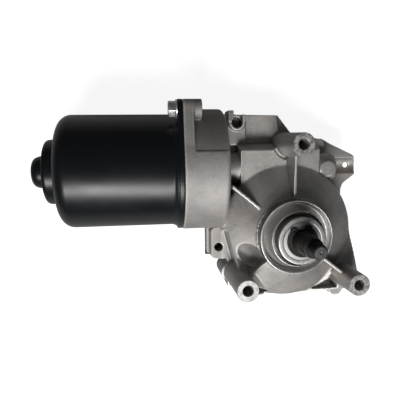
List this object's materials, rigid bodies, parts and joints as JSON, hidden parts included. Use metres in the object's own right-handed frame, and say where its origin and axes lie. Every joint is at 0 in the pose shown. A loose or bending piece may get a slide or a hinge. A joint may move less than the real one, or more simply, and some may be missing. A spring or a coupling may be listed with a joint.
{
  "type": "wiper motor",
  "caption": "Worm-geared electric wiper motor: black steel motor can, ribbed die-cast gear housing with a bearing tower, three mounting bosses and a splined output shaft.",
  "frame": {"origin": "on the output shaft's axis at the middle of its plain spigot, where a crank is seated", "axes": "+Z out of the housing along the output shaft, +X away from the motor can along the armature, +Y from the output shaft towards the armature"},
  "size_m": [0.2053, 0.128, 0.0996],
  "materials": {
    "can_paint": "semi-gloss black",
    "casting": "as-cast satin",
    "zinc": "bright zinc plated",
    "dark_steel": "black oxide",
    "bright_steel": "ground",
    "bronze": "sintered",
    "brass": "stamped",
    "copper": "enamelled wire",
    "laminations": "stacked sheet",
    "ferrite": "matt sintered",
    "carbon": "pressed",
    "black_plastic": "moulded",
    "wheel_plastic": "moulded natural",
    "phenolic": "pressed board",
    "rubber": "moulded"
  },
  "bodies": {
    "root": {"motor_can": "can_paint", "can_screws": "zinc", "can_seal": "rubber", "gear_housing": "casting", "cover_gasket": "rubber", "rear_cover": "black_plastic", "cover_screws": "zinc", "connector_terminals": "brass", "park_contacts": "brass", "output_bush_front": "bronze", "output_bush_rear": "bronze", "can_bush": "bronze", "bush_clip": "bright_steel", "front_bush": "bronze", "end_bush": "bronze", "thrust_pad": "bright_steel", "magnets": "ferrite", "magnet_clips": "bright_steel", "brush_plate": "phenolic", "brush_boxes": "brass", "brushes": "carbon", "brush_springs": "bright_steel", "choke_cores": "ferrite", "choke_windings": "copper", "thermal_breaker": "phenolic"},
    "armature": {"armature_shaft": "bright_steel", "armature_core": "laminations", "armature_windings": "copper", "commutator": "copper", "thrust_balls": "bright_steel"},
    "output": {"output_shaft": "dark_steel", "worm_wheel": "wheel_plastic", "wheel_insert": "bright_steel", "park_disc": "brass", "front_washer": "bright_steel", "circlip": "dark_steel", "wheel_washer": "bright_steel"}
  },
  "joints": [
    {"name": "armature_spin", "type": "hinge", "parent": "root", "child": "armature", "pos_m": [0, 0.0384, -0.04], "axis": [1, 0, 0], "continuous": true},
    {"name": "output_spin", "type": "hinge", "parent": "root", "child": "output", "pos_m": [0, 0, 0], "axis": [0, 0, 1], "continuous": true}
  ],
  "couplings": [
    {"joint": "output_spin", "follows": "armature_spin", "ratio": 0.018519}
  ]
}
